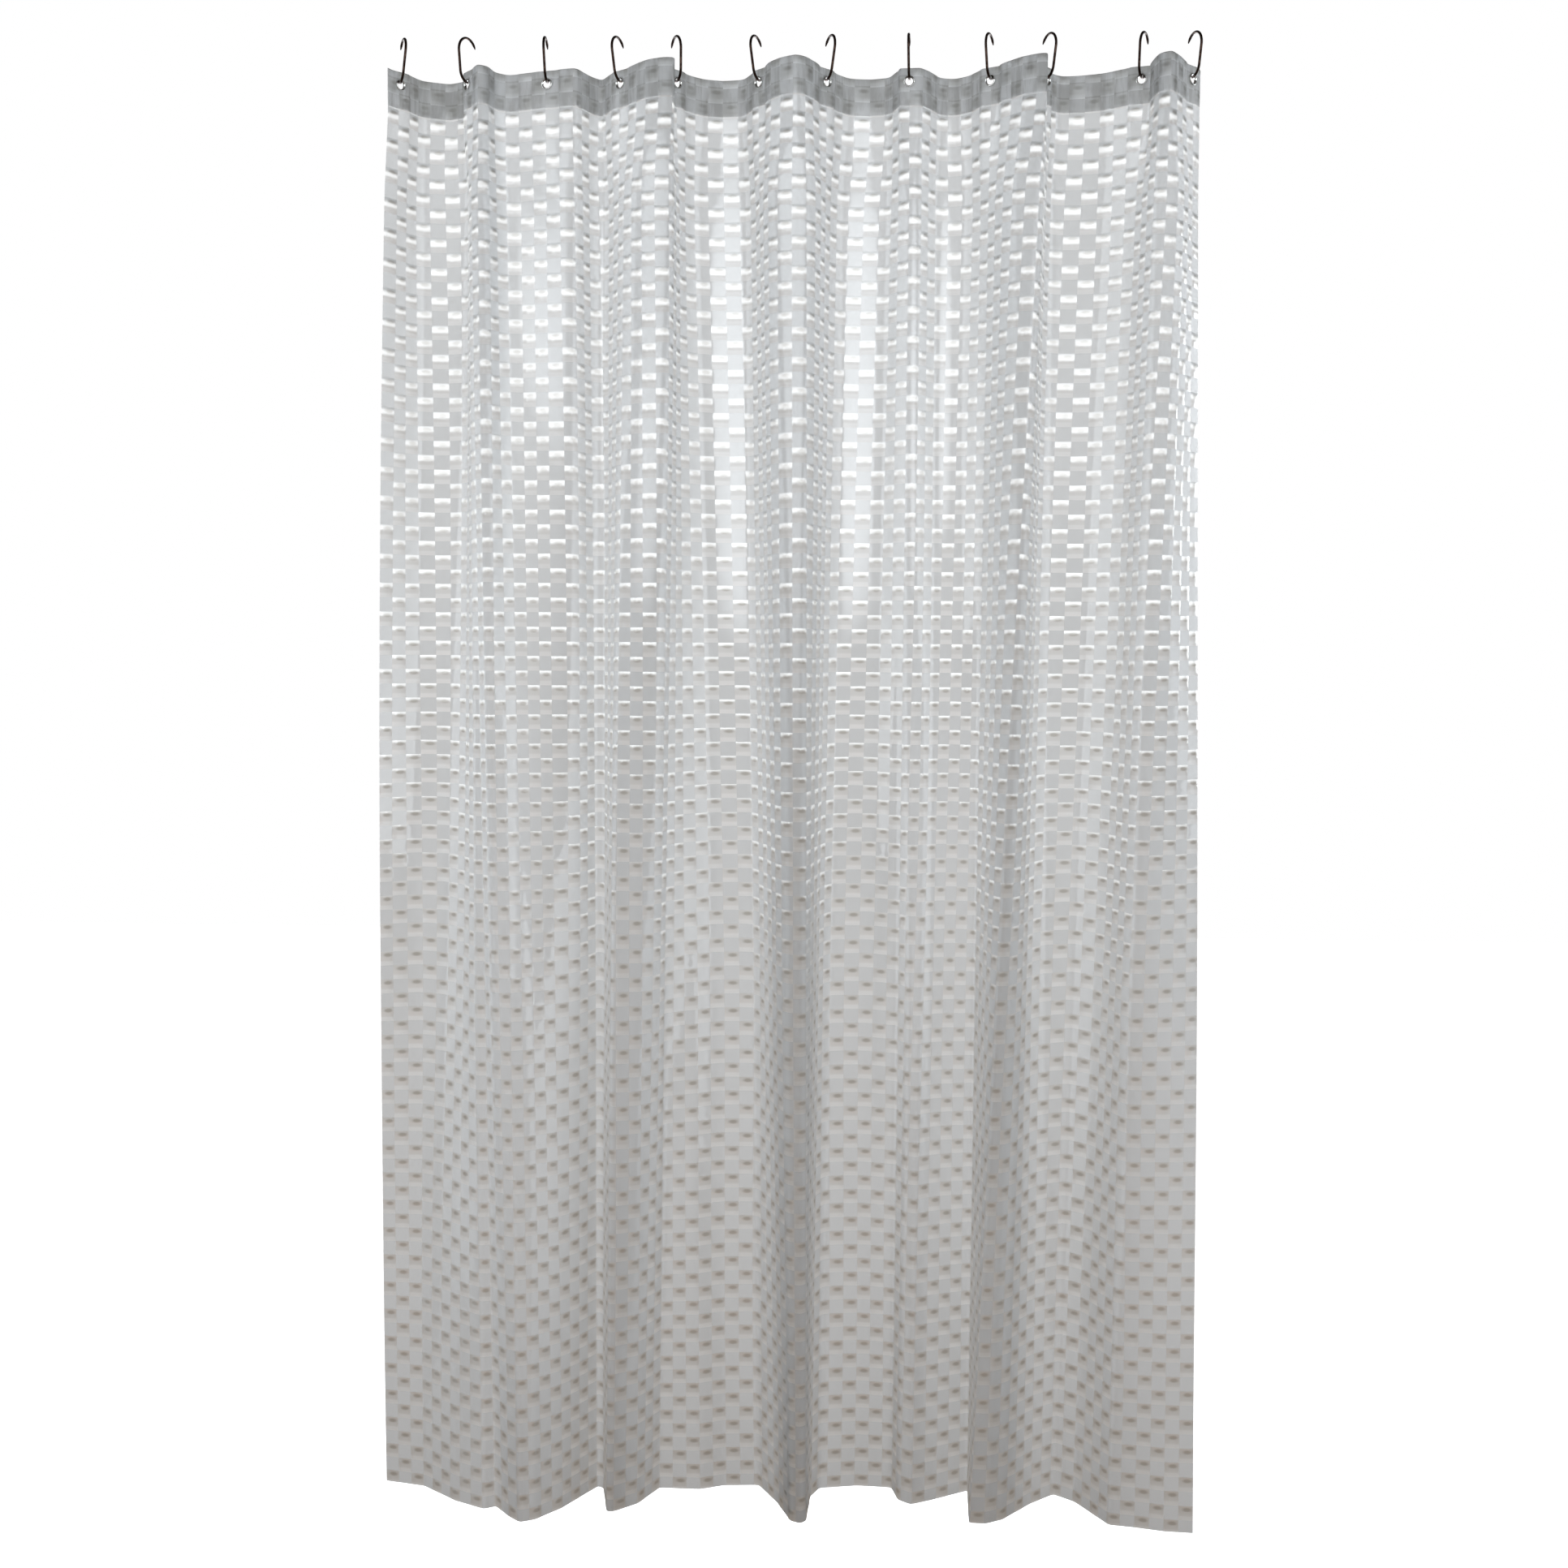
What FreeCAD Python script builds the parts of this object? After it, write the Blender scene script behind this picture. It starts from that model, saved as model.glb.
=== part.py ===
import FreeCAD, Part

import math
import os

from FreeCAD import Placement, Rotation, Vector

# A vinyl shower curtain that hangs from twelve open wire hooks on a round rod.
# Millimetres. +X runs along the rod, -Y faces the room, +Z is up.
# The origin is on the rod's axis, at the middle of the gathered header.

# Rod that the hooks ride on (not part of the model)
ROD_RADIUS = 12.5
ROD_CLEARANCE = 0.3

# Hook wire: a round bow over the rod, a straight front leg and a round foot
WIRE_RADIUS = 1.6
BOW_RADIUS = 16.5
FOOT_RADIUS = 14.0
BOW_END_ANGLE = 42.0
CLAW_END_ANGLE = 66.0
CLAW_STEPS = 3
CLAW_POINT_RADIUS = 0.55
TAIL_ANGLE = 44.0

# Sheet and its folded header
SHEET_WIDTH = 1720.0
SHEET_DROP = 1829.0
EYELET_PITCH = 152.4
EYELET_MARGIN = (SHEET_WIDTH - 11 * EYELET_PITCH) / 2
HEADER_DEPTH = 45.0
EYELET_BELOW_EDGE = 16.0
SHEET_THICKNESS = 0.8
HEADER_THICKNESS = 1.6
SHEET_HOLE_RADIUS = 6.0
HOLE_CUT_REACH = 5.0
FLAT_HALF_WIDTH = 9.0
STRIPS_BETWEEN_EYELETS = 6
LEAST_MITRE = 0.5
SAME_PLACE = 1e-6

# Two-part metal eyelet: a flared barrel and a flat washer behind the header
HOLE_RADIUS = 4.8
BARREL_RADIUS = 5.5
FLANGE_RADIUS = 7.0
FLARE_RADIUS = 6.2
FLARE_DEPTH = 2.0
RIM_HEIGHT = 0.1
RIM_BULGE = (0.15, 0.3)
FLANGE_GAP = 0.2
LIP_RADIUS = 6.5
LIP_GAP = 0.8
WASHER_CLEARANCE = 0.1
WASHER_THICKNESS = 0.5

# Where the eyelet hangs on the wire: the wire lies this far above the hole's centre
WIRE_ABOVE_HOLE_CENTRE = 2.6

BOW_TOP_Z = ROD_RADIUS + ROD_CLEARANCE + WIRE_RADIUS
HOLE_Z = -42.0
WIRE_LOW_Z = HOLE_Z + WIRE_ABOVE_HOLE_CENTRE
TOP_EDGE_Z = HOLE_Z + EYELET_BELOW_EDGE
HEADER_EDGE_Z = TOP_EDGE_Z - HEADER_DEPTH
BOTTOM_EDGE_Z = TOP_EDGE_Z - SHEET_DROP

# One row per eyelet: x, the way the header faces there, the way the hook faces,
# and how far the hook's bow stands to the side of its foot
HANGERS = [
    (-489, 52, 26, 5),
    (-404, -50, -27, 0),
    (-304, -12, 0, -2),
    (-212, -38, -20, -4),
    (-141, 52, 27, -2),
    (-39, -46, -22, -5),
    (45, 48, 24, 5),
    (147, -3, -3, -1),
    (247, -28, -20, -2),
    (316, 52, 27, 3),
    (432, -14, -24, 3),
    (494, 48, 22, 2),
]

# Plan of the header, seen from above: the fold points between one eyelet and the next
LEFT_CORNER = (-500, -19)
RIGHT_CORNER = (506, 19)
HEADER_FOLDS = [
    [(-471, 40), (-438, 56), (-413, 41)],
    [(-385, -32), (-374, -22), (-370, 6), (-355, 18), (-329, 8)],
    [(-284, -8), (-266, -12), (-252, 28), (-241, 43), (-226, 16)],
    [(-192, -24), (-172, -46), (-152, -55), (-138, -54)],
    [(-130, 22), (-112, 42), (-88, 50), (-62, 46), (-49, 20)],
    [(-25, -30), (-8, -51), (10, -62), (22, -51), (34, -24)],
    [(57, 24), (72, 44), (99, 49), (122, 42), (134, 10)],
    [(160, -2), (172, 14), (186, 44), (204, 50), (222, 36), (236, 10)],
    [(261, -18), (284, -46), (303, -58), (313, -60)],
    [(322, 26), (338, 42), (363, 38), (387, 30), (411, 12)],
    [(443, -32), (447, -55), (459, -65), (474, -40), (484, -16)],
]

# Plan of the bottom edge, where the folds are fewer and wider
BOTTOM_FOLDS = [
    (-529, 34), (-475, 21), (-424, -21), (-382, -43), (-368, -34), (-347, -61),
    (-329, -78), (-311, -69), (-282, -33), (-245, 35), (-237, 30), (-223, -40),
    (-214, -39), (-186, -14), (-163, 36), (-109, 35), (-78, 49), (-32, 53),
    (-5, 2), (15, -51), (28, -58), (35, -50), (38, 23), (49, 49), (99, 60),
    (144, 57), (153, 20), (169, 7), (195, 21), (245, 54), (243, -42),
    (265, -43), (286, -30), (326, 20), (358, 50), (384, 29), (421, -36),
    (456, -42), (487, -50), (525, -53),
]


def eyelet_place(number):
    """Where along the flat sheet an eyelet is, from the left edge."""
    return EYELET_MARGIN + number * EYELET_PITCH


def across(angle_deg):
    """The header's direction in plan where it faces angle_deg from the front."""
    angle = math.radians(angle_deg)
    return Vector(math.cos(angle), math.sin(angle), 0)


def polyline_reader(points, places):
    """A function from a place along the flat sheet to a point in plan."""

    def read(place):
        last = len(places) - 2
        n = max(k for k in range(last + 1) if places[k] <= place + SAME_PLACE)
        share = (place - places[n]) / (places[n + 1] - places[n])
        return points[n] + (points[n + 1] - points[n]) * share

    return read


def running_length(points):
    lengths = [0.0]
    for a, b in zip(points, points[1:]):
        lengths.append(lengths[-1] + (b - a).Length)
    return lengths


def header_plan():
    """The header's plan: flat at each eyelet and folded between them."""
    points = [Vector(*LEFT_CORNER, 0)]
    places = [0.0]
    for number, (x, faces, _, _) in enumerate(HANGERS):
        middle = Vector(x, 0, 0)
        half_flat = across(faces) * FLAT_HALF_WIDTH
        place = eyelet_place(number)
        points += [middle - half_flat, middle + half_flat]
        places += [place - FLAT_HALF_WIDTH, place + FLAT_HALF_WIDTH]
        if number < len(HEADER_FOLDS):
            folds = [Vector(*fold, 0) for fold in HEADER_FOLDS[number]]
            next_x, next_faces, _, _ = HANGERS[number + 1]
            next_flat = Vector(next_x, 0, 0) - across(next_faces) * FLAT_HALF_WIDTH
            run = running_length([points[-1], *folds, next_flat])
            room = EYELET_PITCH - 2 * FLAT_HALF_WIDTH
            print("span", number + 1, "drawn", round(run[-1], 1), "sheet", room)
            points += folds
            places += [
                place + FLAT_HALF_WIDTH + length * room / run[-1] for length in run[1:-1]
            ]
    points.append(Vector(*RIGHT_CORNER, 0))
    places.append(SHEET_WIDTH)
    return polyline_reader(points, places)


def bottom_plan():
    points = [Vector(*fold, 0) for fold in BOTTOM_FOLDS]
    run = running_length(points)
    print("bottom drawn", round(run[-1], 1), "sheet", SHEET_WIDTH)
    return polyline_reader(points, [length * SHEET_WIDTH / run[-1] for length in run])


def sheet_places():
    """Places along the sheet where its solid has an upright edge."""
    places = [0.0]
    for number in range(len(HANGERS)):
        place = eyelet_place(number)
        places += [place - FLAT_HALF_WIDTH, place + FLAT_HALF_WIDTH]
        if number < len(HEADER_FOLDS):
            step = (EYELET_PITCH - 2 * FLAT_HALF_WIDTH) / (STRIPS_BETWEEN_EYELETS + 1)
            for strip in range(1, STRIPS_BETWEEN_EYELETS + 1):
                places.append(place + FLAT_HALF_WIDTH + strip * step)
    places.append(SHEET_WIDTH)
    return places


def band(points, thickness, z):
    """A closed polygon of even thickness along the points, at height z."""
    front, back = [], []
    last = len(points) - 1
    for n, point in enumerate(points):
        before = (point - points[max(n - 1, 0)]) if n else (points[1] - points[0])
        after = (points[min(n + 1, last)] - point) if n < last else before
        before_side = Vector(before.y, -before.x, 0).normalize()
        after_side = Vector(after.y, -after.x, 0).normalize()
        side = before_side + after_side
        side.normalize()
        mitre = side * (thickness / 2 / max(side.dot(before_side), LEAST_MITRE))
        front.append(point + mitre + Vector(0, 0, z))
        back.append(point - mitre + Vector(0, 0, z))
    loop = front + back[::-1]
    return Part.makePolygon([*loop, loop[0]])


def curtain_sheet():
    """The vinyl sheet: a double header over one wavy skin, with a hole at each eyelet."""
    top = header_plan()
    bottom = bottom_plan()
    top_points = [top(place) for place in sheet_places()]
    bottom_points = [bottom(place) for place in sheet_places()]
    header = Part.Face(band(top_points, HEADER_THICKNESS, HEADER_EDGE_Z)).extrude(
        Vector(0, 0, HEADER_DEPTH)
    )
    skin = Part.makeLoft(
        [
            band(top_points, SHEET_THICKNESS, HEADER_EDGE_Z),
            band(bottom_points, SHEET_THICKNESS, BOTTOM_EDGE_Z),
        ],
        True,
        True,
    )
    sheet = header.fuse(skin)
    holes = []
    for x, faces, _, _ in HANGERS:
        hole = Part.makeCylinder(
            SHEET_HOLE_RADIUS, 2 * HOLE_CUT_REACH, Vector(0, 0, -HOLE_CUT_REACH)
        )
        hole.Placement = header_placement(x, faces)
        holes.append(hole)
    return sheet.cut(Part.makeCompound(holes)).Solids[0]


def header_placement(x, faces):
    """Sets a shape built along +Z on the header at x, with its +Z out of the front."""
    turn = Rotation(Vector(0, 0, 1), faces) * Rotation(Vector(1, 0, 0), 90)
    return Placement(Vector(x, 0, HOLE_Z), turn)


def revolved(outline_edges):
    return Part.Face(Part.Wire(outline_edges)).revolve(
        Vector(0, 0, 0), Vector(0, 0, 1), 360
    )


def polygon_edges(points):
    corners = [Vector(r, 0, z) for r, z in points]
    return [Part.LineSegment(a, b).toShape() for a, b in zip(corners, corners[1:])]


def eyelet():
    """The barrel half: a front flange, a flared throat and the lip rolled behind."""
    flange_z = HEADER_THICKNESS / 2 + FLANGE_GAP
    lip_z = -HEADER_THICKNESS / 2 - LIP_GAP
    throat = Part.Arc(
        Vector(FLARE_RADIUS, 0, -FLARE_DEPTH),
        Vector(HOLE_RADIUS, 0, 0),
        Vector(FLARE_RADIUS, 0, FLARE_DEPTH),
    ).toShape()
    rounding = Part.Arc(
        Vector(FLARE_RADIUS, 0, FLARE_DEPTH),
        Vector(FLANGE_RADIUS - RIM_BULGE[0], 0, FLARE_DEPTH - RIM_BULGE[1]),
        Vector(FLANGE_RADIUS, 0, flange_z + RIM_HEIGHT),
    ).toShape()
    back = polygon_edges(
        [
            (FLANGE_RADIUS, flange_z + RIM_HEIGHT),
            (FLANGE_RADIUS, flange_z),
            (BARREL_RADIUS, flange_z),
            (BARREL_RADIUS, lip_z),
            (LIP_RADIUS, lip_z),
            (FLARE_RADIUS, -FLARE_DEPTH),
        ]
    )
    return revolved([throat, rounding, *back])


def washer():
    """The flat ring that the barrel's lip is rolled over, behind the header."""
    inner = BARREL_RADIUS + WASHER_CLEARANCE
    front_z = -HEADER_THICKNESS / 2 - FLANGE_GAP
    back_z = front_z - WASHER_THICKNESS
    ring = [
        (inner, front_z),
        (FLANGE_RADIUS, front_z),
        (FLANGE_RADIUS, back_z),
        (inner, back_z),
        (inner, front_z),
    ]
    return revolved(polygon_edges(ring))


def wire_section(centre, angle_deg, radius, wire_radius):
    """The wire's round section on an arc in the XZ plane, angle_deg from its top."""
    angle = math.radians(angle_deg)
    spot = centre + Vector(math.sin(angle), 0, math.cos(angle)) * radius
    along = Vector(math.cos(angle), 0, -math.sin(angle))
    return Part.Wire(Part.Circle(spot, along, wire_radius).toShape())


def bent_wire(centre, radius, from_deg, to_deg):
    """A stretch of wire on an arc about centre, from one angle to the other."""
    section = Part.Face(wire_section(centre, from_deg, radius, WIRE_RADIUS))
    return section.revolve(centre, Vector(0, 1, 0), to_deg - from_deg)


def hook():
    """An open hook in the XZ plane: +X is its front, and z is 0 at the rod's axis."""
    bow = Vector(0, 0, BOW_TOP_Z - BOW_RADIUS)
    foot = Vector(0, 0, WIRE_LOW_Z + FOOT_RADIUS)
    lean = math.degrees(math.asin((BOW_RADIUS - FOOT_RADIUS) / (bow.z - foot.z)))
    leg_deg = 90 + lean
    leg = Vector(math.cos(math.radians(lean)), 0, -math.sin(math.radians(lean)))
    leg_top = bow + leg * BOW_RADIUS
    leg_low = foot + leg * FOOT_RADIUS
    straight = Part.makeCylinder(
        WIRE_RADIUS, (leg_low - leg_top).Length, leg_top, leg_low - leg_top
    )
    claw_sections = []
    for step in range(CLAW_STEPS + 1):
        share = step / CLAW_STEPS
        angle = BOW_END_ANGLE + share * (CLAW_END_ANGLE - BOW_END_ANGLE)
        size = WIRE_RADIUS - (WIRE_RADIUS - CLAW_POINT_RADIUS) * share**2
        claw_sections.append(wire_section(bow, -angle, BOW_RADIUS, size))
    tail_deg = 180 + TAIL_ANGLE
    tail_angle = math.radians(tail_deg)
    tail_end = foot + Vector(math.sin(tail_angle), 0, math.cos(tail_angle)) * FOOT_RADIUS
    pieces = [
        straight,
        bent_wire(foot, FOOT_RADIUS, leg_deg, tail_deg),
        Part.makeSphere(WIRE_RADIUS, tail_end),
        Part.makeLoft(claw_sections, True),
    ]
    whole = bent_wire(bow, BOW_RADIUS, -BOW_END_ANGLE, leg_deg).fuse(pieces)
    return whole.removeSplitter()


def hook_placement(x, faces, bow_shift):
    """Turns a hook to face its way, and leans it so that its foot stays in the eyelet."""
    facing = Rotation(Vector(0, 0, 1), faces - 90)
    leaning = Rotation(
        Vector(0, 1, 0), math.degrees(math.atan2(bow_shift, BOW_TOP_Z - WIRE_LOW_Z))
    )
    turn = leaning * facing
    foot = Vector(0, 0, WIRE_LOW_Z)
    return Placement(Vector(x, 0, WIRE_LOW_Z) - turn.multVec(foot), turn)


def export(shape, name):
    solid = shape if shape.ShapeType == "Solid" else shape.Solids[0]
    print(name, "valid", solid.isValid(), "volume", round(solid.Volume, 1))
    solid.exportStep(f"parts/{name}.step")


os.makedirs("parts", exist_ok=True)
export(curtain_sheet(), "curtain_sheet")
for number, (x, faces, hook_faces, bow_shift) in enumerate(HANGERS, start=1):
    hung_hook = hook()
    hung_hook.Placement = hook_placement(x, hook_faces, bow_shift)
    export(hung_hook, f"hook_{number:02d}")
    for shape, name in ((eyelet(), "eyelet"), (washer(), "washer")):
        shape.Placement = header_placement(x, faces)
        export(shape, f"{name}_{number:02d}")
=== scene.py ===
import math

import bpy
import numpy as np
from mathutils import Matrix, Vector

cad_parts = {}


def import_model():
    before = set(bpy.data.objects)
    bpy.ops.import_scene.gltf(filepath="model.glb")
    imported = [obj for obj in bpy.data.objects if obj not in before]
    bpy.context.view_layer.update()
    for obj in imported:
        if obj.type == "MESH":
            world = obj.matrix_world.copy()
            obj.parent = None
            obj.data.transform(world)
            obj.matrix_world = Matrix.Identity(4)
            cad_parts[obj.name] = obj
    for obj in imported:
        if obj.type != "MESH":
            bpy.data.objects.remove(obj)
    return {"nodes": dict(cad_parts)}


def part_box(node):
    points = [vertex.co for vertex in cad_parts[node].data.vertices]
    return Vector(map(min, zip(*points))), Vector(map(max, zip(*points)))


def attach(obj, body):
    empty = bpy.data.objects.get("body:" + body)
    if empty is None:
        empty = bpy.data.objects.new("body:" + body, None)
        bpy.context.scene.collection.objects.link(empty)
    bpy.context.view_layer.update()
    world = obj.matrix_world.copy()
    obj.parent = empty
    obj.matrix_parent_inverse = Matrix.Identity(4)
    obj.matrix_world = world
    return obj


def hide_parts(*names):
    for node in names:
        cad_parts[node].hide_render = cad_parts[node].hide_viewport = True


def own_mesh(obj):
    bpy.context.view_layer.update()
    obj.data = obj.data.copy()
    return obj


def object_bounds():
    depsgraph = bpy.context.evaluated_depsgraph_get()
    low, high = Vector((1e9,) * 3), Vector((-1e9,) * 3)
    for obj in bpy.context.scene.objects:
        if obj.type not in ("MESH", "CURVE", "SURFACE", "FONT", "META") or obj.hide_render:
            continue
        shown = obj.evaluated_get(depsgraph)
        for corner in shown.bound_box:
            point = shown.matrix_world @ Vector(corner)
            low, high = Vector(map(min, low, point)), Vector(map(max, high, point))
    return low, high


# The looks of a frosted vinyl shower curtain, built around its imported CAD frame.
# Metres, in the CAD's own frame: +X along the rod, -Y towards the room, +Z up.
# Plan outlines are in millimetres, as in the part's source, and MM turns them to metres.

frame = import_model()
cad_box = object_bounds()

MM = 0.001

# The vinyl sheet, flat, and its eyelets; each keeps the header flat this far to either side
SHEET_WIDTH = 1720 * MM
SHEET_DROP = 1829 * MM
HEADER_DEPTH = 45 * MM
EYELET_COUNT = len([name for name in frame["nodes"] if name.startswith("eyelet_")])
EYELET_PITCH = 152.4 * MM
EYELET_MARGIN = (SHEET_WIDTH - (EYELET_COUNT - 1) * EYELET_PITCH) / 2
EYELET_BELOW_EDGE = 16 * MM
FLAT_HALF_WIDTH = 9 * MM

# Embossed checkerboard: lens cells alternate with flat ones both ways
CELLS_ACROSS = 90
CELL_WIDTH = SHEET_WIDTH / CELLS_ACROSS
CELL_HEIGHT = 18.4 * MM
FIRST_ROW_DROP = 47 * MM
LENS_RISE = 0.45 * MM
# Where the mesh has a column, and how often a row, in shares of a cell
LENS_STEPS_ACROSS = (0.0, 0.14, 0.38, 0.62, 0.86)
LENS_STEPS_DOWN = 4
# Puts a point that lies on a cell's edge in the cell after it
CELL_NUDGE = 1e-6

# Double header: how far each layer stands from the middle, and at its welded edge
LAYER_OFFSET = 0.4 * MM
WELD_OFFSET = 0.12 * MM
WELD_FROM = 36 * MM
WELD_TO = 43 * MM
HEADER_RELIEF = 0.4

# Rows of the mesh beside the fold at the top, and how near another row may come to a fixed one
TOP_FOLD_ROW = 1 * MM
ROW_CLEARANCE = 1.6 * MM

# Holes for the eyelets, the block of mesh cut out round each, and the cloth pressed flat there
HOLE_RADIUS = 6.1 * MM
HOLE_BLOCK = 8.5 * MM
PRESSED_FLAT = 10 * MM
PRESS_FADES = 6 * MM

# Plan reading: one point for each millimetre of cloth, and corners rounded over these lengths
READ_STEP = 1 * MM
FOLD_ROUNDING = 4.5 * MM
BOTTOM_ROUNDING = 2.5 * MM
RELAXED_ROUNDING = 11 * MM
ROUNDING_TAIL = 4
FLAT_FADES = 10 * MM
FLAT_END_REACH = 1.01 * FLAT_HALF_WIDTH

# Below the header the folds relax and turn box-like, until a little past the curtain's middle
RELAXED_BY = 170 * MM
BOXED_TO = 1100 * MM
BOX_SQUARENESS = 1.6
BOX_DEPTHS = (5 * MM, 120 * MM)
BOX_DEPTH_HALVINGS = 24
BOX_WIDTH_HELD = 0.985

# How far the left edge stands out halfway down
EDGE_BULGE = 11 * MM

# Plan outlines, in mm: x along the rod and y away from the room, from the left edge to the right
LEFT_CORNER = (-500, -19)
RIGHT_CORNER = (506, 19)
HEADER_FOLDS = [
    [(-471, 40), (-438, 56), (-413, 41)],
    [(-385, -32), (-374, -22), (-370, 6), (-355, 18), (-329, 8)],
    [(-284, -8), (-266, -12), (-252, 28), (-241, 43), (-226, 16)],
    [(-192, -24), (-172, -46), (-152, -55), (-138, -54)],
    [(-130, 22), (-112, 42), (-88, 50), (-62, 46), (-49, 20)],
    [(-25, -30), (-8, -51), (10, -62), (22, -51), (34, -24)],
    [(57, 24), (72, 44), (99, 49), (122, 42), (134, 10)],
    [(160, -2), (172, 14), (186, 44), (204, 50), (222, 36), (236, 10)],
    [(261, -18), (284, -46), (303, -58), (313, -60)],
    [(322, 26), (338, 42), (363, 38), (387, 30), (411, 12)],
    [(443, -32), (447, -55), (459, -65), (474, -40), (484, -16)],
]
BOTTOM_FOLDS = [
    (-529, 34), (-475, 21), (-424, -21), (-382, -43), (-368, -34), (-347, -61),
    (-329, -78), (-311, -69), (-282, -33), (-245, 35), (-237, 30), (-223, -40),
    (-214, -39), (-186, -14), (-163, 36), (-109, 35), (-78, 49), (-32, 53),
    (-5, 2), (15, -51), (28, -58), (35, -50), (38, 23), (49, 49), (99, 60),
    (144, 57), (153, 20), (169, 7), (195, 21), (245, 54), (243, -42),
    (265, -43), (286, -30), (326, 20), (358, 50), (384, 29), (421, -36),
    (456, -42), (487, -50), (525, -53),
]


# ---------------------------------------------------------------- plan of the folds


def eyelet_stations():
    """Each eyelet's centre, the header's direction in plan there, and its place on the flat sheet."""
    stations = []
    for number in range(EYELET_COUNT):
        name = f"eyelet_{number + 1:02d}"
        low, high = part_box(name)
        points = np.array([v.co for v in frame["nodes"][name].data.vertices], float)
        front = np.linalg.svd(points - points.mean(0), full_matrices=False)[2][-1]
        front = front if front[1] < 0 else -front
        centre = np.array((low + high) / 2)
        along = np.array([-front[1], front[0]]) / math.hypot(front[0], front[1])
        stations.append((centre, along, EYELET_MARGIN + number * EYELET_PITCH))
    return stations


STATIONS = eyelet_stations()
PLACES = np.arange(0, SHEET_WIDTH + READ_STEP / 2, READ_STEP)


def run_of(plan):
    """How far along the plan each of its points is."""
    return np.concatenate([[0], np.cumsum(np.hypot(*np.diff(plan, axis=0).T))])


def header_outline():
    """The header's fold points in plan, and the place of each along the flat sheet."""
    points, places = [np.array(LEFT_CORNER) * MM], [0.0]
    for number, (centre, along, place) in enumerate(STATIONS):
        half_flat = along * FLAT_HALF_WIDTH
        points += [centre[:2] - half_flat, centre[:2] + half_flat]
        places += [place - FLAT_HALF_WIDTH, place + FLAT_HALF_WIDTH]
        if number < len(HEADER_FOLDS):
            folds = [np.array(fold) * MM for fold in HEADER_FOLDS[number]]
            next_centre, next_along, _ = STATIONS[number + 1]
            end = next_centre[:2] - next_along * FLAT_HALF_WIDTH
            chain = np.array([points[-1], *folds, end])
            run = run_of(chain)
            room = EYELET_PITCH - 2 * FLAT_HALF_WIDTH
            points += folds
            places += list(place + FLAT_HALF_WIDTH + run[1:-1] * room / run[-1])
    points.append(np.array(RIGHT_CORNER) * MM)
    places.append(SHEET_WIDTH)
    return np.array(points), np.array(places)


def relaxed_outline():
    """The same folds a little lower, where the eyelets no longer turn the cloth."""
    points, places = header_outline()
    turned = np.zeros(len(places), bool)
    for _, _, place in STATIONS:
        turned |= np.abs(places - place) < FLAT_END_REACH
    points, places = points[~turned], places[~turned]
    points = np.concatenate([points, [centre[:2] for centre, _, _ in STATIONS]])
    places = np.concatenate([places, [place for _, _, place in STATIONS]])
    order = np.argsort(places)
    return points[order], places[order]


def free_outline(folds):
    """An outline in plan and its points' places along the sheet, spaced as they are drawn."""
    points = np.array(folds) * MM
    run = run_of(points)
    return points, run * SHEET_WIDTH / run[-1]


def rounded(points, places, reach):
    """Reads an outline at every place of the sheet, with its corners rounded over reach."""
    pad = int(ROUNDING_TAIL * reach / READ_STEP)
    steps = np.arange(-pad, len(PLACES) + pad)
    wide = steps * READ_STEP
    inside = np.clip(wide, 0, SHEET_WIDTH)
    read = np.stack([np.interp(inside, places, points[:, k]) for k in range(2)], 1)
    for end, other, beyond in ((0, 1, wide < 0), (-1, -2, wide > SHEET_WIDTH)):
        slope = (points[end] - points[other]) / (places[end] - places[other])
        read += np.where(beyond, wide - inside, 0)[:, None] * slope
    kernel = np.exp(-0.5 * (np.arange(-pad, pad + 1) * READ_STEP / reach) ** 2)
    kernel /= kernel.sum()
    return np.stack([np.convolve(read[:, k], kernel, "valid") for k in range(2)], 1)


def fade(x):
    """0 below 0, 1 above 1, and smooth between."""
    x = np.clip(x, 0, 1)
    return x * x * (3 - 2 * x)


def header_plan():
    """The header's plan, exactly flat across each eyelet."""
    plan = rounded(*header_outline(), FOLD_ROUNDING)
    for centre, along, place in STATIONS:
        away = PLACES - place
        flat = centre[:2] + away[:, None] * along
        share = 1 - fade((np.abs(away) - FLAT_HALF_WIDTH) / FLAT_FADES)
        plan += share[:, None] * (flat - plan)
    return plan


HEADER_PLAN = header_plan()
RELAXED_PLAN = rounded(*relaxed_outline(), RELAXED_ROUNDING)
BOTTOM_PLAN = rounded(*free_outline(BOTTOM_FOLDS), BOTTOM_ROUNDING)


def boxed(plan):
    """Flattens the faces of the folds and steepens their flanks until they hold nearly all the width."""
    middle = plan[:, 1].mean()
    away = plan[:, 1] - middle
    low, high = BOX_DEPTHS
    for _ in range(BOX_DEPTH_HALVINGS):
        depth = (low + high) / 2
        folded = np.stack([plan[:, 0], depth * np.tanh(BOX_SQUARENESS * away / depth)], 1)
        run = run_of(folded)
        low, high = (depth, high) if run[-1] < SHEET_WIDTH * BOX_WIDTH_HELD else (low, depth)
    # The line below each eyelet stays below it, and the cloth between is spread along the new plan
    pinned = np.array([0, *(place for _, _, place in STATIONS), SHEET_WIDTH])
    spaced = np.interp(run, np.interp(pinned, PLACES, run), pinned)
    x, y = (np.interp(PLACES, spaced, values) for values in folded.T)
    return np.stack([x, middle + y], 1)


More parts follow.
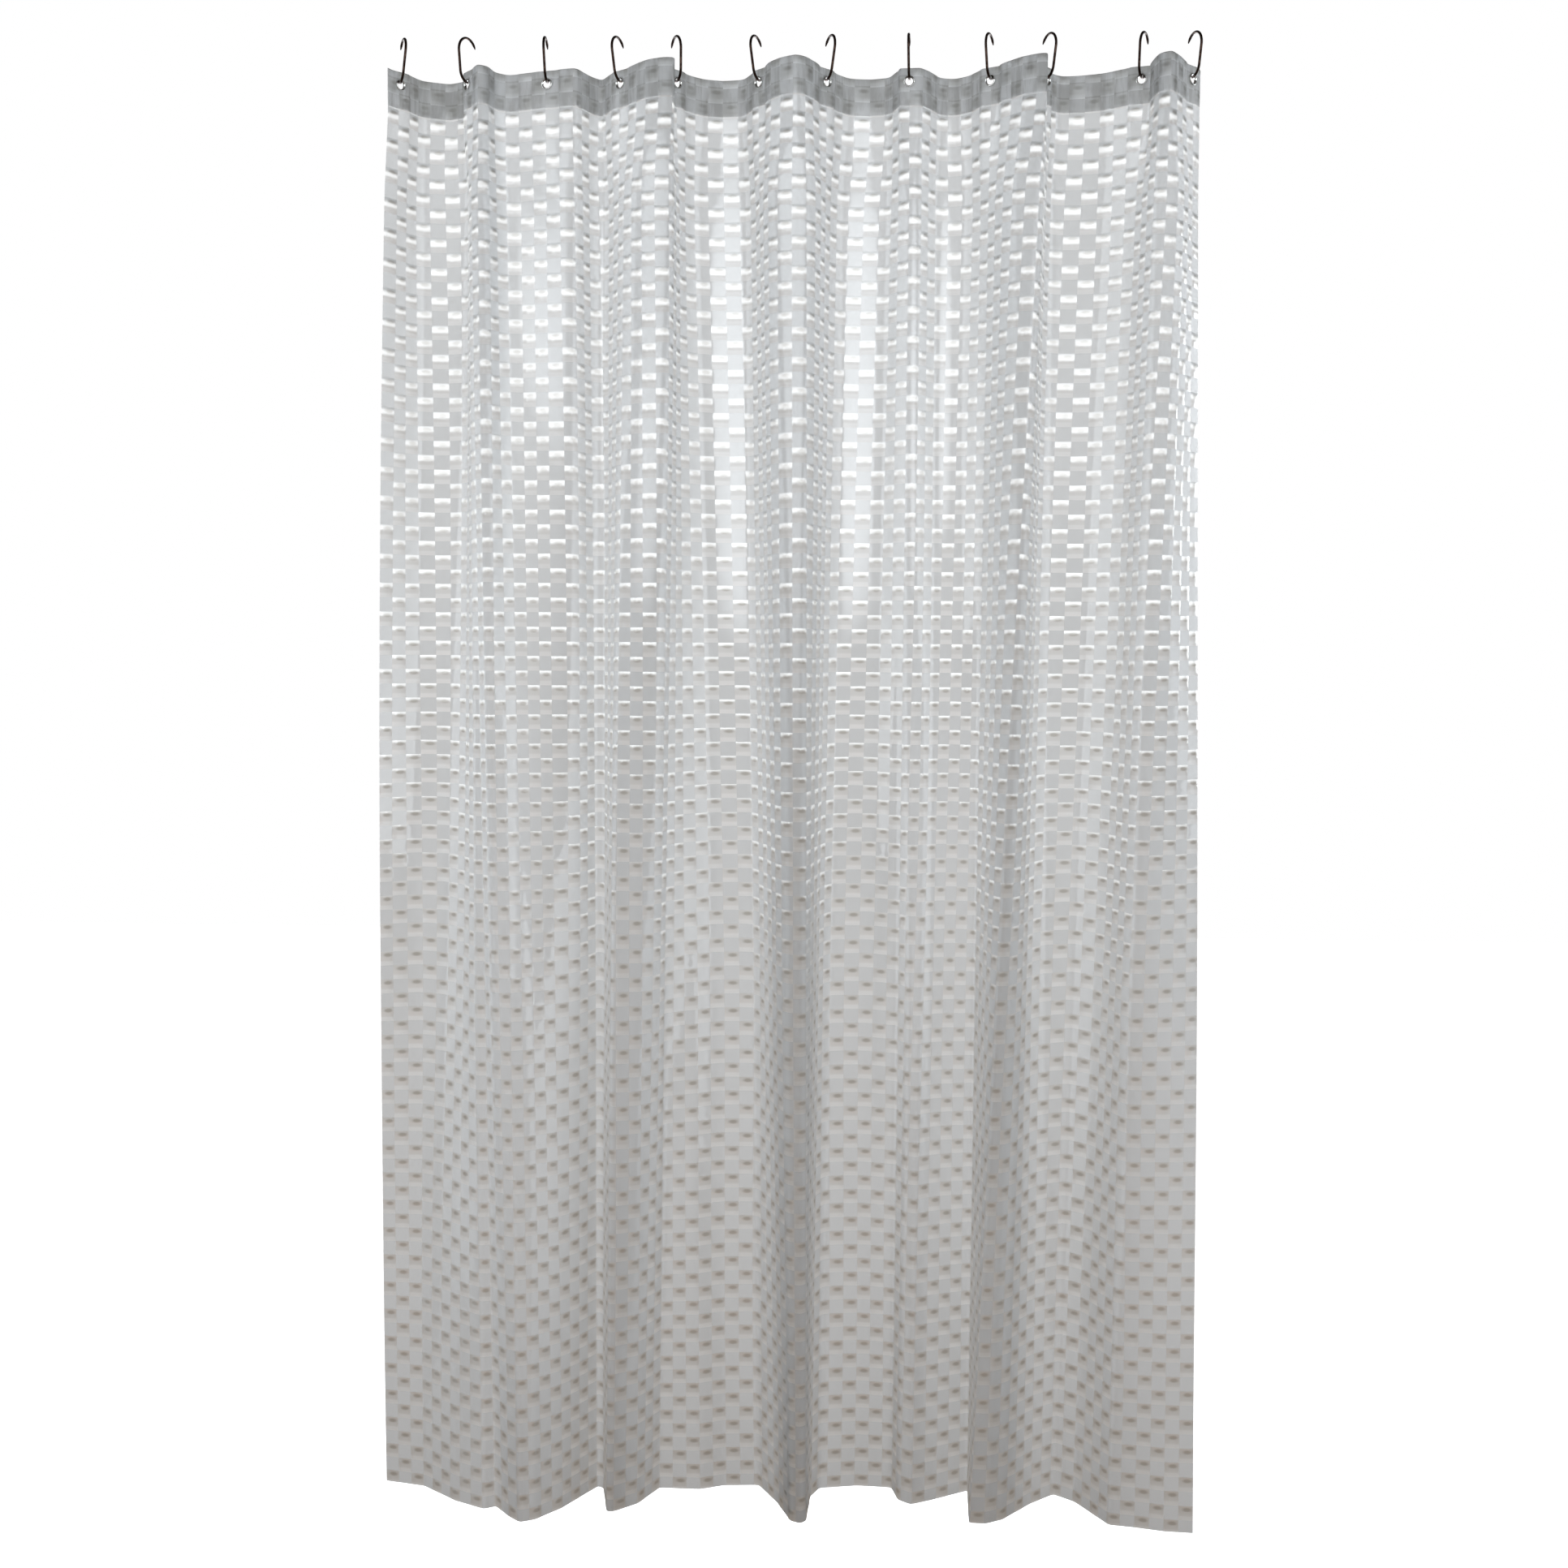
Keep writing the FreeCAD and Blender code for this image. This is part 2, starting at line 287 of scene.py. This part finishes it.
def plan_at(drop):
    """The sheet's plan at a drop below its top edge."""
    t = (drop - HEADER_DEPTH) / (SHEET_DROP - HEADER_DEPTH)
    if t <= 0:
        return HEADER_PLAN
    relaxed = fade((drop - HEADER_DEPTH) / (RELAXED_BY - HEADER_DEPTH))
    blended = HEADER_PLAN + relaxed * (RELAXED_PLAN - HEADER_PLAN)
    blended += t * (BOTTOM_PLAN - blended)
    squared = relaxed * (1 - fade((drop - BOXED_TO) / (SHEET_DROP - BOXED_TO)))
    blended += squared * (boxed(blended) - blended)
    near_edge = 1 - fade(PLACES / EYELET_PITCH)
    blended[:, 0] -= EDGE_BULGE * near_edge * math.sin(math.pi * t)
    return blended


# ---------------------------------------------------------------- the sheet's mesh


def lens_height(place, along_cloth):
    """How far the embossing stands out: a pillow in every other cell, and flat between."""
    across = place / CELL_WIDTH + CELL_NUDGE
    down = (along_cloth - FIRST_ROW_DROP) / CELL_HEIGHT + CELL_NUDGE
    lens = (np.floor(across) + np.floor(down)) % 2 == 0
    u = across - np.floor(across)
    v = down - np.floor(down)
    edge = np.clip(np.minimum(u, 1 - u) / LENS_STEPS_ACROSS[1], 0, 1)
    return lens * edge * 4 * v * (1 - v)


def pressed(place, along_cloth):
    """0 where an eyelet presses the cloth flat, and 1 away from it."""
    share = np.ones(np.broadcast(place, along_cloth).shape)
    for _, _, at in STATIONS:
        away = np.hypot(place - at, np.abs(along_cloth) - EYELET_BELOW_EDGE)
        share = np.minimum(share, fade((away - PRESSED_FLAT) / PRESS_FADES))
    return share


def layer_offset(along_cloth):
    """How far the cloth stands in front of its middle plan: the flap is behind the header."""
    if along_cloth > HEADER_DEPTH or along_cloth == 0:
        return 0.0
    weld = fade((abs(along_cloth) - WELD_FROM) / (WELD_TO - WELD_FROM))
    offset = LAYER_OFFSET + weld * (WELD_OFFSET - LAYER_OFFSET)
    return math.copysign(offset, along_cloth)


def cloth_points(places, along_cloth, plan):
    """Points of the sheet at one distance along the cloth; the flap's distances are negative."""
    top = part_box("curtain_sheet")[1].z
    slope = np.gradient(plan, axis=0)
    slope /= np.hypot(*slope.T)[:, None]
    x, y, along_x, along_y = (
        np.interp(places, PLACES, values) for values in (*plan.T, *slope.T)
    )
    relief = LENS_RISE * lens_height(places, along_cloth) * pressed(places, along_cloth)
    if abs(along_cloth) < HEADER_DEPTH:
        relief *= HEADER_RELIEF
    out = layer_offset(along_cloth) + relief
    z = np.full(len(x), top - abs(along_cloth))
    return np.stack([x + along_y * out, y - along_x * out, z], 1)


def column_places():
    """Places across the sheet where the mesh has a column of points."""
    places = [
        (cell + step) * CELL_WIDTH
        for cell in range(CELLS_ACROSS)
        for step in LENS_STEPS_ACROSS
    ]
    return np.array([*places, SHEET_WIDTH])


def row_distances():
    """Distances along the cloth, from the flap's free edge over the top fold to the bottom."""
    step = CELL_HEIGHT / LENS_STEPS_DOWN
    first = FIRST_ROW_DROP - step * round((FIRST_ROW_DROP + HEADER_DEPTH) / step)
    inner = np.arange(first, SHEET_DROP, step)
    fixed = np.array([-HEADER_DEPTH, -TOP_FOLD_ROW, 0, TOP_FOLD_ROW, SHEET_DROP])
    clear = np.abs(inner[:, None] - fixed).min(1) > ROW_CLEARANCE
    inside = (inner > -HEADER_DEPTH) & (inner < SHEET_DROP)
    return np.sort(np.concatenate([inner[clear & inside], fixed]))


def block_around(values, middle):
    """The indices that close a block round a hole in a rising row of values."""
    first = int(np.searchsorted(values, middle - HOLE_BLOCK, "right")) - 1
    last = int(np.searchsorted(values, middle + HOLE_BLOCK, "left"))
    return first, last


def hole_border(upper, lower, left, right):
    """The grid's points round a block, as (row, column), once round."""
    return (
        [(upper, column) for column in range(left, right)]
        + [(row, right) for row in range(upper, lower)]
        + [(lower, column) for column in range(right, left, -1)]
        + [(row, left) for row in range(lower, upper, -1)]
    )


def sheet_grid():
    """The sheet's points, the place of each on the flat cloth, and its faces, with the holes cut."""
    places, distances = column_places(), row_distances()
    rows = [cloth_points(places, along, plan_at(abs(along))) for along in distances]
    points = list(np.concatenate(rows))
    flat_places = [(place, along) for along in distances for place in places]
    width = len(places)
    cut = np.zeros((len(distances) - 1, width - 1), bool)
    faces = []
    for _, _, across in STATIONS:
        for side in (-1, 1):
            down = side * EYELET_BELOW_EDGE
            left, right = block_around(places, across)
            upper, lower = block_around(distances, down)
            cut[upper:lower, left:right] = True
            border = hole_border(upper, lower, left, right)
            start = len(points)
            for row, column in border:
                away = np.array([places[column] - across, distances[row] - down])
                ring = np.array([across, down]) + away * HOLE_RADIUS / np.hypot(*away)
                points.append(cloth_points(ring[:1], ring[1], HEADER_PLAN)[0])
                flat_places.append(tuple(ring))
            # A ring of faces joins the block's border to the round hole
            outer = [row * width + column for row, column in border]
            for n, corner in enumerate(outer):
                after = (n + 1) % len(outer)
                faces.append((start + n, start + after, outer[after], corner))
    for row, column in zip(*np.nonzero(~cut)):
        corner = int(row) * width + int(column)
        faces.append((corner, corner + width, corner + width + 1, corner + 1))
    return np.array(points), np.array(flat_places), np.array(faces)


def build_sheet():
    """The whole sheet as one mesh: the flap, the fold at the top, and the drop, with its holes."""
    points, flat_places, faces = sheet_grid()
    used = np.zeros(len(points), bool)
    used[faces.ravel()] = True
    renumber = np.cumsum(used) - 1
    mesh = bpy.data.meshes.new("curtain_cloth")
    mesh.from_pydata(points[used].tolist(), [], renumber[faces].tolist())
    mesh.shade_smooth()
    corners = np.zeros(len(mesh.loops), np.int32)
    mesh.loops.foreach_get("vertex_index", corners)
    unit = np.array([SHEET_WIDTH, SHEET_DROP + HEADER_DEPTH])
    spread = (flat_places[used] + [0, HEADER_DEPTH]) / unit
    layer = mesh.uv_layers.new(name="OFBake")
    layer.data.foreach_set("uv", spread[corners].astype(np.float32).ravel())
    piece = bpy.data.objects.new("curtain_cloth", mesh)
    bpy.context.scene.collection.objects.link(piece)
    return piece


# ---------------------------------------------------------------- materials


class Nodes:
    """A short way to write a node tree."""

    def __init__(self, tree):
        self.tree = tree
        tree.nodes.clear()

    def add(self, kind, **settings):
        """Makes a node and sets its own settings."""
        node = self.tree.nodes.new(kind)
        for name, value in settings.items():
            setattr(node, name, value)
        return node

    def put(self, value, socket):
        """Links an output to a socket, or sets the socket to a plain value."""
        if isinstance(value, bpy.types.NodeSocket):
            self.tree.links.new(value, socket)
        else:
            socket.default_value = value

    def math(self, operation, *values):
        """The outcome of one sum on single numbers."""
        node = self.add("ShaderNodeMath", operation=operation)
        for value, socket in zip(values, node.inputs):
            self.put(value, socket)
        return node.outputs[0]

    def between(self, share, low, high):
        """Runs from low to high as share runs from 0 to 1."""
        return self.math("ADD", low, self.math("MULTIPLY", share, high - low))

    def mix(self, share, a, b):
        """Mixes two colours."""
        node = self.add("ShaderNodeMix", data_type="RGBA")
        self.put(share, node.inputs["Factor"])
        self.put(a, node.inputs["A"])
        self.put(b, node.inputs["B"])
        return node.outputs["Result"]

    def blend(self, share, a, b):
        """Mixes two shaders."""
        node = self.add("ShaderNodeMixShader")
        self.put(share, node.inputs["Fac"])
        self.put(a, node.inputs[1])
        self.put(b, node.inputs[2])
        return node.outputs[0]

    def upright(self, length):
        """A vector that points straight up."""
        node = self.add("ShaderNodeCombineXYZ")
        self.put(length, node.inputs["Z"])
        return node.outputs[0]

    def vector(self, operation, *values, scale=None):
        """The outcome of one sum on vectors."""
        node = self.add("ShaderNodeVectorMath", operation=operation)
        for value, socket in zip(values, node.inputs):
            self.put(value, socket)
        if scale is not None:
            self.put(scale, node.inputs["Scale"])
        return node.outputs["Vector"]

    def noise(self, scale, detail, roughness=0.5, vector=None):
        """Cloudy noise from 0 to 1."""
        node = self.add("ShaderNodeTexNoise")
        self.put(scale, node.inputs["Scale"])
        self.put(detail, node.inputs["Detail"])
        self.put(roughness, node.inputs["Roughness"])
        if vector is not None:
            self.put(vector, node.inputs["Vector"])
        return node.outputs["Fac"]

    def bump(self, strength, depth, height, normal=None):
        """A normal roughened by a height, stronger or weaker, over a depth in metres."""
        node = self.add("ShaderNodeBump")
        self.put(strength, node.inputs["Strength"])
        self.put(depth, node.inputs["Distance"])
        self.put(height, node.inputs["Height"])
        if normal is not None:
            self.put(normal, node.inputs["Normal"])
        return node.outputs[0]

    def ramp(self, value, stops):
        """Reads value on a run of (place, grey) stops, smoothly."""
        node = self.add("ShaderNodeValToRGB")
        node.color_ramp.interpolation = "EASE"
        bar = node.color_ramp.elements
        while len(bar) < len(stops):
            bar.new(0.5)
        for element, (place, grey) in zip(bar, stops):
            element.position = place
            element.color = (grey, grey, grey, 1)
        self.put(value, node.inputs["Fac"])
        return node.outputs["Color"]

    def finish(self, kind, shader):
        """Links a shader to the tree's output node."""
        self.put(shader, self.add(kind).inputs["Surface"])


def new_material(name):
    """A material, and the writer of its empty node tree."""
    material = bpy.data.materials.new(name)
    material.use_nodes = True
    return material, Nodes(material.node_tree)


# Vinyl: what its two faces reflect and pass on, where it is frosted and where it is clear
FROSTED_FRONT = (0.582, 0.590, 0.60, 1)
FROSTED_BACK = (0.80, 0.812, 0.822, 1)
CLEAR_FRONT = (0.235, 0.23, 0.215, 1)
CLEAR_BACK = (0.37, 0.365, 0.345, 1)
SHARE_PASSED_ON = 0.5

# How clear the vinyl is: a flat cell, and what the header adds; the layer behind adds painted see-through
# shade of its lens cells, and noise creases in the header add painted crease shade
FLAT_CLEARNESS = 0.20
HEADER_TONE = -0.10
HEADER_LENS_LOSS = 0.5
BEHIND_LENS_SHADE = 0.24
CREASE_SHADE_TONE = 0.28
CREASE_SHADE_SCALE = 26.0
CREASE_SHADE_FADE = ((0.42, 0.0), (0.62, 1.0))
CLOUD_SCALE = 6.0
CLOUD_FADE = ((0.3, 0.0), (0.7, 0.06))

# A lens is clearer vinyl, and clearest, so darkest, in an oval that is partly painted shade standing for a
# dark reflection: its middle, in shares of its cell from the left and from the top, how its darkness falls
# with the distance from there, and how much less clear, so lighter, the cell's foot is painted as a
# highlight strip
SHADE_OVAL_MIDDLE = (0.58, 0.25)
SHADE_OVAL_REACH = (0.46, 0.20)
SHADE_OVAL_FADE = ((0.2, 0.9), (1.0, 0.08))
FOOT_HIGHLIGHT_FADE = ((0.60, 0.0), (0.84, 0.5))

# A lens's curve, stronger than the mesh can hold: how far its normal leans at the cell's edges
LENS_TILT = 0.26
LENS_SPREAD = 0.25

# Gloss, and a fine grain
FLAT_ROUGHNESS = 0.44
LENS_ROUGHNESS = 0.16
FLAT_SPECULAR = 0.15
LENS_SPECULAR = 1.0
GLOSS_IOR = 1.9
GRAIN_SCALE = 700.0
GRAIN_STRENGTH = 0.03
GRAIN_DEPTH = 0.4 * MM

# What is seen through a lens. Its back is hollow: it leans the other way, and this much more
LENS_SEEN_THROUGH = 0.36
LENS_HOLLOW = 3.4
SEEN_COLOUR = (0.95, 0.97, 0.98, 1)
SEEN_ROUGHNESS = 0.34
VINYL_IOR = 1.45

# Metals: light and dark patches, and small pits
BRONZE_LIGHT = (0.048, 0.029, 0.022, 1)
BRONZE_DARK = (0.020, 0.012, 0.010, 1)
NICKEL_LIGHT = (0.74, 0.74, 0.72, 1)
NICKEL_DARK = (0.50, 0.50, 0.49, 1)
PATCH_FADE = ((0.35, 0.0), (0.65, 1.0))
PITS_PER_PATCH = 6
PIT_STRENGTH = 0.25
PIT_DEPTH = 0.2 * MM


def lens_cells(n, across, down):
    """1 in the lens cells of the checkerboard, and 0 in the flat ones."""
    cell = n.math("ADD", n.math("FLOOR", across), n.math("FLOOR", down))
    return n.math("SUBTRACT", 1.0, n.math("FLOORED_MODULO", cell, 2.0))


def cell_pattern(n):
    """Cells counted across and down the cloth, where the header is, and its back layer's lens cells, used
    for painted see-through shade.
    """
    parts = n.add("ShaderNodeSeparateXYZ")
    n.put(n.add("ShaderNodeUVMap", uv_map="OFBake").outputs["UV"], parts.inputs[0])
    cloth_length = SHEET_DROP + HEADER_DEPTH
    first_row = (HEADER_DEPTH + FIRST_ROW_DROP) / CELL_HEIGHT
    across = n.math("MULTIPLY", parts.outputs["X"], CELLS_ACROSS)
    down = n.math("MULTIPLY", parts.outputs["Y"], cloth_length / CELL_HEIGHT)
    down = n.math("SUBTRACT", down, first_row)
    header = n.math("LESS_THAN", parts.outputs["Y"], 2 * HEADER_DEPTH / cloth_length)
    mirrored = n.math("SUBTRACT", (HEADER_DEPTH - FIRST_ROW_DROP) / CELL_HEIGHT, down)
    mirrored = n.math("SUBTRACT", mirrored, first_row)
    behind = n.math("MULTIPLY", lens_cells(n, across, mirrored), header)
    return across, down, header, behind


def clearness_and_painted_light(n, u, v, lens, header, behind):
    """How clear, and so how dark, the vinyl is, with painted light in it. A lens is clearest in an oval,
    up and right of its middle: partly clearer vinyl, partly painted shade standing for a dark reflection.
    Its foot is painted lighter as a highlight strip, and the header gets painted crease shade and the back
    layer's cells as painted see-through shade.
    """
    # Painted shade in part: a dark oval up and right in each lens stands for a dark reflection, over the
    # lens's own clearer vinyl
    aside = n.math("DIVIDE", n.math("SUBTRACT", u, SHADE_OVAL_MIDDLE[0]), SHADE_OVAL_REACH[0])
    below = n.math("DIVIDE", n.math("SUBTRACT", v, SHADE_OVAL_MIDDLE[1]), SHADE_OVAL_REACH[1])
    off = n.math("SQRT", n.math("ADD", n.math("POWER", aside, 2.0), n.math("POWER", below, 2.0)))
    # Painted highlight: the lower part of each lens is made less clear, so lighter, as a strip at its foot
    oval = n.math("SUBTRACT", n.ramp(off, SHADE_OVAL_FADE), n.ramp(v, FOOT_HIGHLIGHT_FADE))
    clear = n.math("ADD", n.math("MULTIPLY", oval, lens), FLAT_CLEARNESS)
    cloud = n.ramp(n.noise(CLOUD_SCALE, 4.0), CLOUD_FADE)
    clear = n.math("ADD", n.math("ADD", clear, cloud), n.math("MULTIPLY", header, HEADER_TONE))
    # Painted see-through shade: where the back layer has lens cells, the header is painted clearer, so
    # darker
    clear = n.math("ADD", clear, n.math("MULTIPLY", behind, BEHIND_LENS_SHADE))
    # Painted crease shade: noise creases in the header are painted clearer, so darker
    crease_shade = n.ramp(n.noise(CREASE_SHADE_SCALE, 5.0, 0.65), CREASE_SHADE_FADE)
    crease_shade = n.math("MULTIPLY", crease_shade, header)
    return n.math("ADD", clear, n.math("MULTIPLY", crease_shade, CREASE_SHADE_TONE))


def lens_normals(n, u, v, lens):
    """The normal at a lens's front, curved up, down and to the sides, and at its hollow back."""
    geometry = n.add("ShaderNodeNewGeometry")
    normal = geometry.outputs["Normal"]
    side = n.math("SUBTRACT", 1.0, n.math("MULTIPLY", geometry.outputs["Backfacing"], 2.0))
    lean = n.math("MULTIPLY", n.math("SUBTRACT", 1.0, n.math("MULTIPLY", v, 2.0)), LENS_TILT)
    upright = n.upright(n.math("MULTIPLY", n.math("MULTIPLY", lean, lens), side))
    spread = n.math("MULTIPLY", n.math("SUBTRACT", n.math("MULTIPLY", u, 2.0), 1.0), LENS_SPREAD)
    sideways = n.vector("CROSS_PRODUCT", (0, 0, 1), normal)
    sideways = n.vector("SCALE", sideways, scale=n.math("MULTIPLY", spread, lens))
    curved = n.vector("NORMALIZE", n.vector("ADD", n.vector("ADD", normal, upright), sideways))
    hollow = n.vector("SCALE", upright, scale=-LENS_HOLLOW)
    hollow = n.vector("NORMALIZE", n.vector("ADD", normal, hollow))
    return curved, hollow


def vinyl():
    """Frosted translucent vinyl, with a clear lens pressed into every other cell."""
    material, n = new_material("frosted_vinyl")
    across, down, header, behind = cell_pattern(n)
    lens = lens_cells(n, across, down)
    lens = n.math("MULTIPLY", lens, n.between(header, 1.0, 1.0 - HEADER_LENS_LOSS))
    u, v = n.math("FRACT", across), n.math("FRACT", down)
    # This share carries painted shade and a painted highlight strip as well as how clear the vinyl is
    clear = clearness_and_painted_light(n, u, v, lens, header, behind)
    curved, hollow = lens_normals(n, u, v, lens)
    grained = n.bump(GRAIN_STRENGTH, GRAIN_DEPTH, n.noise(GRAIN_SCALE, 2.0), curved)
    front = n.add("ShaderNodeBsdfPrincipled")
    n.put(n.mix(clear, FROSTED_FRONT, CLEAR_FRONT), front.inputs["Base Color"])
    n.put(n.between(lens, FLAT_ROUGHNESS, LENS_ROUGHNESS), front.inputs["Roughness"])
    n.put(n.between(lens, FLAT_SPECULAR, LENS_SPECULAR), front.inputs["Specular IOR Level"])
    n.put(GLOSS_IOR, front.inputs["IOR"])
    n.put(grained, front.inputs["Normal"])
    passed_on = n.add("ShaderNodeBsdfTranslucent")
    n.put(n.mix(clear, FROSTED_BACK, CLEAR_BACK), passed_on.inputs["Color"])
    n.put(grained, passed_on.inputs["Normal"])
    seen = n.add("ShaderNodeBsdfRefraction")
    n.put(SEEN_COLOUR, seen.inputs["Color"])
    n.put(SEEN_ROUGHNESS, seen.inputs["Roughness"])
    n.put(VINYL_IOR, seen.inputs["IOR"])
    n.put(hollow, seen.inputs["Normal"])
    surface = n.blend(SHARE_PASSED_ON, front.outputs[0], passed_on.outputs[0])
    share_seen = n.math("MULTIPLY", lens, LENS_SEEN_THROUGH)
    n.finish("ShaderNodeOutputMaterial", n.blend(share_seen, surface, seen.outputs[0]))
    return material


def metal(name, light, dark, smooth, rough, patch_scale):
    """A plated or patinated metal whose tone and gloss vary in small patches."""
    material, n = new_material(name)
    place = n.add("ShaderNodeTexCoord").outputs["Object"]
    share = n.ramp(n.noise(patch_scale, 4.0, 0.6, place), PATCH_FADE)
    pits = n.noise(patch_scale * PITS_PER_PATCH, 2.0, 0.5, place)
    shader = n.add("ShaderNodeBsdfPrincipled")
    n.put(n.mix(share, light, dark), shader.inputs["Base Color"])
    n.put(1.0, shader.inputs["Metallic"])
    n.put(n.between(share, smooth, rough), shader.inputs["Roughness"])
    n.put(n.bump(PIT_STRENGTH, PIT_DEPTH, pits), shader.inputs["Normal"])
    n.finish("ShaderNodeOutputMaterial", shader.outputs[0])
    return material


def finish_metal_parts():
    """Gives the hooks, and the eyelets with their washers, their metal."""
    bronze = metal(
        "oil_rubbed_bronze", BRONZE_LIGHT, BRONZE_DARK, smooth=0.34, rough=0.50, patch_scale=220.0
    )
    nickel = metal(
        "bright_nickel", NICKEL_LIGHT, NICKEL_DARK, smooth=0.16, rough=0.34, patch_scale=300.0
    )
    for name, node in frame["nodes"].items():
        if name == "curtain_sheet":
            continue
        is_hook = name.startswith("hook_")
        node.data.materials.clear()
        node.data.materials.append(bronze if is_hook else nickel)


# ---------------------------------------------------------------- stage, lights, camera

# Floor and world
FLOOR_BELOW = 140 * MM
FLOOR_SIZE = 12.0
FLOOR_COLOUR = (0.8, 0.8, 0.8, 1)
FLOOR_ROUGHNESS = 0.8
FLOOR_GLOW = 0.92
WHITE = (1, 1, 1, 1)
ROOM_COLOUR = (0.12, 0.116, 0.11, 1)
WALL_LOW = (0.33, 0.264, 0.205, 1)
WALL_HIGH = (0.08, 0.08, 0.08, 1)
WALL_DARKENS = ((0.26, 0.0), (0.34, 1.0))

# Light colours
DAYLIGHT = (0.93, 0.97, 1.0)
SKYLIGHT = (0.91, 0.96, 1.0)
FAR_DAYLIGHT = (0.95, 0.98, 1.0)
COOL = (0.62, 0.84, 1.0)
WARM = (1.0, 0.50, 0.28)

# Camera
CAMERA_DISTANCE = 2.5
CAMERA_YAW = 2.9
CAMERA_PITCH = 4.1
CAMERA_ROLL = 0.39
CAMERA_RISE = 5.5 * MM
FOCAL_LENGTH = 45.15
SENSOR_WIDTH = 36


def world():
    """White for the camera. The vinyl passes on a wall that is paler low down, and reflects a dim room."""
    studio = bpy.data.worlds.new("studio")
    studio.use_nodes = True
    n = Nodes(studio.node_tree)
    path = n.add("ShaderNodeLightPath")
    direction = n.add("ShaderNodeSeparateXYZ")
    n.put(n.add("ShaderNodeTexCoord").outputs["Generated"], direction.inputs[0])
    wall = n.mix(n.ramp(direction.outputs["Z"], WALL_DARKENS), WALL_LOW, WALL_HIGH)
    room = n.add("ShaderNodeBackground")
    n.put(n.mix(path.outputs["Is Transmission Ray"], ROOM_COLOUR, wall), room.inputs["Color"])
    backdrop = n.add("ShaderNodeBackground")
    n.put(WHITE, backdrop.inputs["Color"])
    either = n.blend(path.outputs["Is Camera Ray"], room.outputs[0], backdrop.outputs[0])
    n.finish("ShaderNodeOutputWorld", either)
    bpy.context.scene.world = studio


def floor():
    """A plain pale floor, with a glow of its own that throws no light on the curtain."""
    low = cad_box[0].z - FLOOR_BELOW
    half = FLOOR_SIZE / 2
    mesh = bpy.data.meshes.new("floor")
    corners = [(-half, -half, low), (half, -half, low), (half, half, low), (-half, half, low)]
    mesh.from_pydata(corners, [], [(0, 1, 2, 3)])
    plane = bpy.data.objects.new("floor", mesh)
    bpy.context.scene.collection.objects.link(plane)
    material, n = new_material("pale_floor")
    shader = n.add("ShaderNodeBsdfPrincipled")
    n.put(FLOOR_COLOUR, shader.inputs["Base Color"])
    n.put(FLOOR_ROUGHNESS, shader.inputs["Roughness"])
    n.put(WHITE, shader.inputs["Emission Color"])
    n.put(FLOOR_GLOW, shader.inputs["Emission Strength"])
    n.finish("ShaderNodeOutputMaterial", shader.outputs[0])
    mesh.materials.append(material)
    plane.visible_diffuse = False
    plane.visible_glossy = False
    plane.visible_transmission = False


def softbox(name, place, target, size, watts, colour):
    """A rectangular soft light that the camera itself doesn't see."""
    light = bpy.data.lights.new(name, "AREA")
    light.shape = "RECTANGLE"
    light.size, light.size_y = size
    light.energy = watts
    light.color = colour
    lamp = bpy.data.objects.new(name, light)
    bpy.context.scene.collection.objects.link(lamp)
    lamp.location = place
    lamp.rotation_mode = "QUATERNION"
    lamp.rotation_quaternion = (Vector(target) - Vector(place)).to_track_quat("-Z", "Y")
    lamp.visible_camera = False
    return lamp


def lights():
    """Soft light from in front, from both sides and low down, and two windows behind the curtain."""
    softbox("key", (0, -1.25, 0.06), target=(0, 0, -0.15), size=(3.8, 0.62), watts=21, colour=DAYLIGHT)
    for side in (-2.0, 2.0):
        high, low = (side, -0.5, 0.15), (side, -0.5, -1.5)
        softbox("wing", high, target=(0, 0, -0.15), size=(2.2, 0.9), watts=10, colour=DAYLIGHT)
        softbox("side", low, target=(0, 0, -1.4), size=(1.2, 1.2), watts=3, colour=COOL)
    near, far = (0, 1.3, -0.54), (0, 8.0, 1.45)
    window = softbox("window", near, target=(0, 0, -0.28), size=(5.0, 0.9), watts=118, colour=SKYLIGHT)
    # The near window lights the frosted vinyl from behind, and isn't seen through the lenses
    window.visible_transmission = False
    softbox("far_window", far, target=(0, 0, -0.2), size=(20, 1.7), watts=125, colour=FAR_DAYLIGHT)
    softbox("low_fill", (0, -1.25, -1.5), target=(0, 0, -1.3), size=(7.0, 0.5), watts=4, colour=WARM)


def camera():
    """Looks at the curtain's middle from in front, a little from the right and from above."""
    middle = (cad_box[0] + cad_box[1]) / 2
    target = Vector((middle.x, 0, middle.z + CAMERA_RISE))
    yaw, pitch, roll = (math.radians(a) for a in (CAMERA_YAW, CAMERA_PITCH, CAMERA_ROLL))
    forward = Vector(
        (-math.sin(yaw) * math.cos(pitch), math.cos(yaw) * math.cos(pitch), -math.sin(pitch))
    )
    right = forward.cross(Vector((0, 0, 1))).normalized()
    up = right.cross(forward)
    rolled_right = right * math.cos(roll) + up * math.sin(roll)
    rolled_up = up * math.cos(roll) - right * math.sin(roll)
    turn = Matrix((rolled_right, rolled_up, -forward)).transposed()
    data = bpy.data.cameras.new("camera")
    data.lens = FOCAL_LENGTH
    data.sensor_width = SENSOR_WIDTH
    view = bpy.data.objects.new("camera", data)
    bpy.context.scene.collection.objects.link(view)
    view.matrix_world = Matrix.Translation(target - forward * CAMERA_DISTANCE) @ turn.to_4x4()
    bpy.context.scene.camera = view


# ---------------------------------------------------------------- put together

camera()
bpy.context.scene.view_settings.view_transform = "Standard"

cloth = build_sheet()
cloth.data.materials.append(vinyl())
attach(cloth, "curtain")
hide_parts("curtain_sheet")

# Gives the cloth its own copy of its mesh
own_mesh(cloth)

finish_metal_parts()
world()
floor()
lights()
